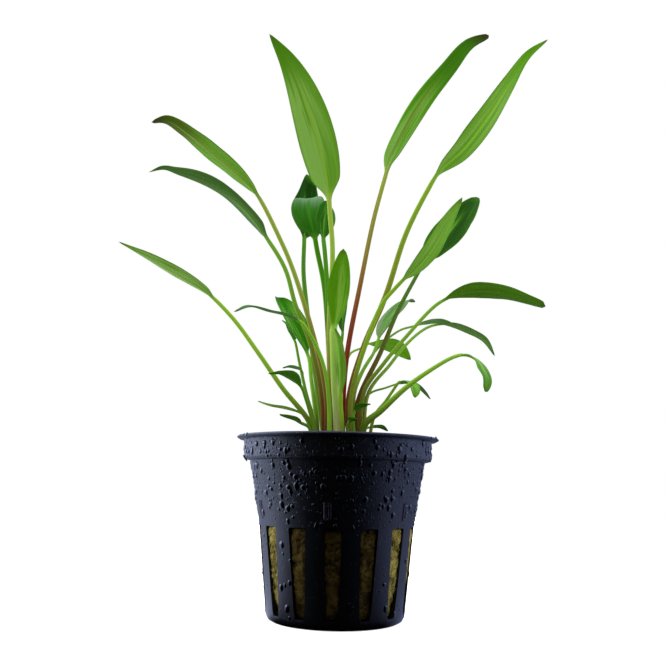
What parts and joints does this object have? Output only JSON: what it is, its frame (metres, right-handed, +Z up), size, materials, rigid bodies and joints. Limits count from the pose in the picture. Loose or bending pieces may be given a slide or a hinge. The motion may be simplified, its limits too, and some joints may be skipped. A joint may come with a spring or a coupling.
{
  "type": "potted cryptocoryne",
  "caption": "Aquarium plant: a rosette of slender pointed green leaves on long stalks, grown in mineral wool in a black slotted pot with a stepped rim.",
  "frame": {"origin": "middle of the pot's flat underside, on the surface it stands on", "axes": "+Z up along the pot's axis, -Y towards the front that the picture shows, +X to the right as seen from the front"},
  "size_m": [0.1256, 0.0992, 0.1881],
  "materials": {
    "black_plastic": "injection-moulded plastic, near black with a cool cast, satin gloss, beaded with water",
    "mineral_wool": "matted yellow-brown fibre, damp, with no gloss",
    "rootstock": "rough brown fibrous rootstock, matte",
    "leaf_bright": "fresh green leaf with a fine midrib and a soft waxy sheen",
    "leaf_dull": "greyer blue-green leaf with a soft waxy sheen",
    "leaf_deep": "dark green leaf, partly in shade, with a soft waxy sheen"
  },
  "bodies": {
    "root": {"pot": "black_plastic", "wool_plug": "mineral_wool", "crown": "rootstock", "leaf_tall_centre": "leaf_bright", "leaf_tall_right": "leaf_bright", "leaf_tall_far_right": "leaf_bright", "leaf_high_left": "leaf_bright", "leaf_folded_left": "leaf_dull", "leaf_low_left": "leaf_bright", "leaf_back_left": "leaf_deep", "leaf_back_centre": "leaf_dull", "leaf_back_right": "leaf_deep", "leaf_front_centre": "leaf_bright", "leaf_narrow_behind": "leaf_deep", "leaf_front_small": "leaf_bright", "leaf_folded_small": "leaf_deep", "leaf_edge_on_left": "leaf_dull", "leaf_small_back_left": "leaf_deep", "leaf_small_dark_left": "leaf_deep", "leaf_thin_left": "leaf_deep", "leaf_spear_left": "leaf_bright", "leaf_short_left": "leaf_deep", "leaf_light_right": "leaf_bright", "leaf_dark_right": "leaf_deep", "leaf_level_right": "leaf_bright", "leaf_arching_right": "leaf_dull", "leaf_thin_right": "leaf_dull", "leaf_drooping_right": "leaf_bright", "leaf_low_right": "leaf_dull", "leaf_tip_right": "leaf_bright", "leaf_mid_right": "leaf_bright", "leaf_grey_right": "leaf_dull", "leaf_small_right": "leaf_deep", "leaf_rim_right": "leaf_deep", "leaf_sprout_right": "leaf_deep"}
  },
  "joints": []
}
